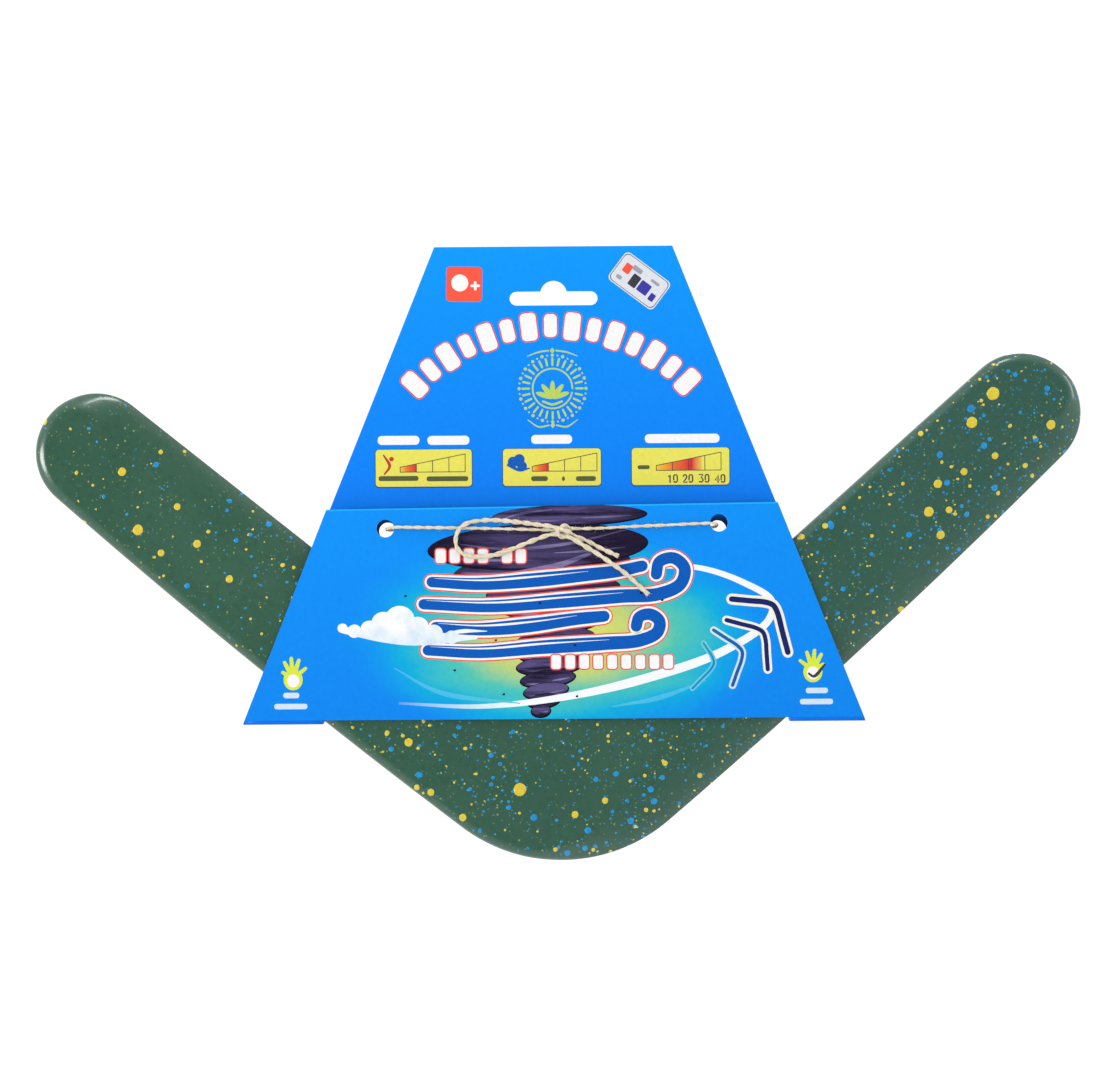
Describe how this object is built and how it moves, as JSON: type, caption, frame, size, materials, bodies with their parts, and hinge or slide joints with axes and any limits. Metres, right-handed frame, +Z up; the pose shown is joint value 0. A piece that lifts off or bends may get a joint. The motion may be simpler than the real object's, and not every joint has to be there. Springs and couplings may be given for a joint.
{
  "type": "boomerang",
  "caption": "V-shaped painted plywood boomerang in a folded hanging card, tied shut through the card with a twine bow; the boomerang slides up in the card's pocket.",
  "frame": {"origin": "middle of the peg slot in the header of the hanging card, halfway through the card", "axes": "+X right, +Z up as it hangs, printed front towards -Y"},
  "size_m": [0.3799, 0.0129, 0.2234],
  "materials": {
    "painted_face": "gloss green paint with yellow and blue splatter",
    "painted_inner": "gloss green paint on the shaped edges of the inner plies",
    "printed_card": "gloss printed front, plain blue back",
    "twine": "natural hemp, two strands twisted"
  },
  "bodies": {
    "card": {"card_back_panel": "printed_card", "card_fold_left": "printed_card", "card_fold_right": "printed_card", "card_front_flap": "printed_card", "twine_band": "twine", "twine_knot": "twine", "twine_bow_loop": "twine", "twine_tail_short": "twine", "twine_tail_long": "twine"},
    "boomerang": {"ply_1_back_veneer": "painted_face", "ply_2_cross": "painted_inner", "ply_3_core": "painted_inner", "ply_4_cross": "painted_inner", "ply_5_face_veneer": "painted_face"}
  },
  "joints": [
    {"name": "boomerang_lift", "type": "slide", "parent": "card", "child": "boomerang", "axis": [0, 0, 1], "range_m": [0, 0.027]}
  ]
}
